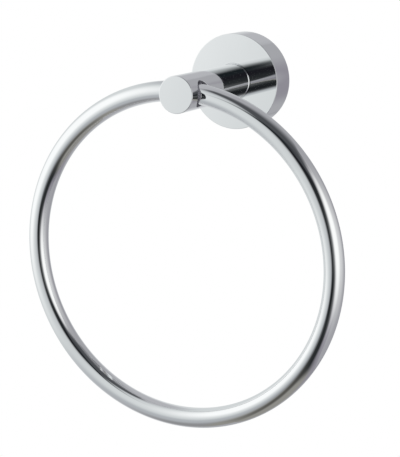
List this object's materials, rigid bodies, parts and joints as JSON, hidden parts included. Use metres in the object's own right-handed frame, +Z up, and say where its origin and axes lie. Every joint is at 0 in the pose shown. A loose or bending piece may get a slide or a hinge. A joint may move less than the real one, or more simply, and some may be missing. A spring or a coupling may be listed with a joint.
{
  "type": "towel ring",
  "caption": "Chrome towel ring: a round wall flange carries a straight post, and an endless ring of round bar swings in the post's cross hole.",
  "frame": {"origin": "centre of the mounting face, on the wall's surface, in line with the post", "axes": "+Z up along the wall, +Y into the wall, so the post reaches out along -Y, +X to the right for a person who faces the wall"},
  "size_m": [0.174, 0.078, 0.1931],
  "materials": {
    "chrome": "polished chrome plate",
    "zinc": "plain zinc-plated",
    "stainless": "plain stainless"
  },
  "bodies": {
    "holder": {"wall_bracket": "zinc", "flange_cover": "chrome", "post": "chrome", "post_screw": "stainless", "post_washer": "stainless", "grub_screw": "stainless"},
    "ring": {"ring": "chrome"}
  },
  "joints": [
    {"name": "ring_swing", "type": "hinge", "parent": "holder", "child": "ring", "pos_m": [0, -0.066, 0], "axis": [1, 0, 0], "range_deg": [-201, 21]}
  ]
}
